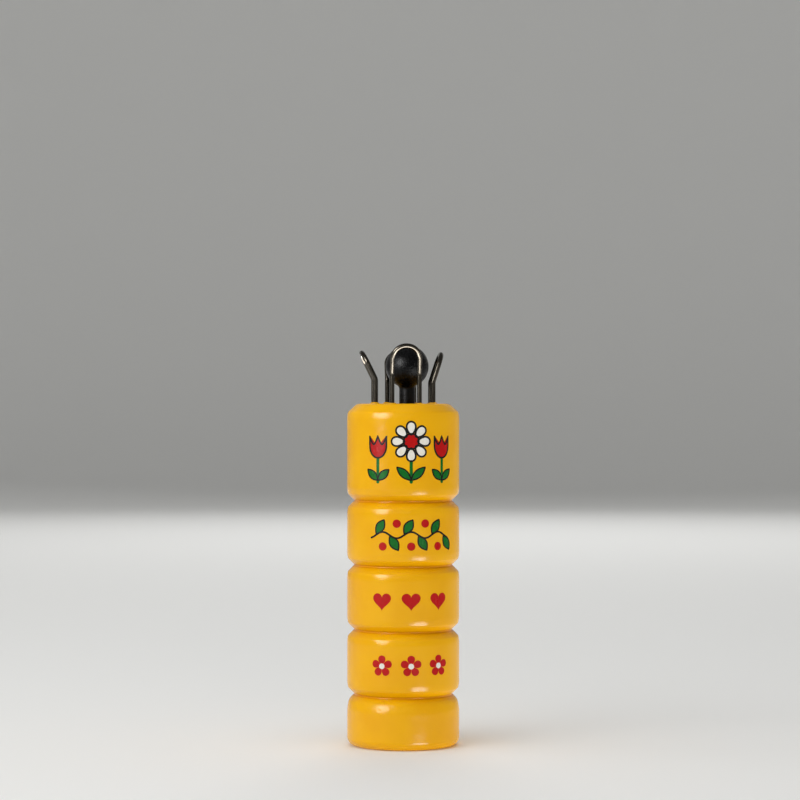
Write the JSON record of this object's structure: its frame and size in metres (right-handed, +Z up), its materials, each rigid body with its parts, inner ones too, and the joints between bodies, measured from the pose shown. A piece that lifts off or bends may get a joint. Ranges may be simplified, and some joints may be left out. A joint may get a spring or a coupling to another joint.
{
  "type": "knitting nancy",
  "caption": "Turned wooden spool knitter: a beaded yellow body with a bore through it, bent wire staples round the bore's top, and a loose ball-headed plastic needle standing in it.",
  "frame": {"origin": "centre of the base, on the axis of the bore, at the height of the surface it stands on", "axes": "+Z up along the bore, -Y out of the decorated front, +X to the right seen from the front"},
  "size_m": [0.026, 0.026, 0.0927],
  "materials": {
    "yellow_lacquer": "glossy opaque yellow lacquer on turned hardwood, bare wood inside the bore",
    "plated_wire": "bright nickel-plated steel wire",
    "black_plastic": "satin black moulded plastic"
  },
  "bodies": {
    "nancy": {"body": "yellow_lacquer", "staple_front": "plated_wire", "staple_right": "plated_wire", "staple_back": "plated_wire", "staple_left": "plated_wire"},
    "needle": {"needle": "black_plastic"}
  },
  "joints": [
    {"name": "needle_slide", "type": "slide", "parent": "nancy", "child": "needle", "axis": [0, 0, 1], "range_m": [0, 0.1]}
  ]
}
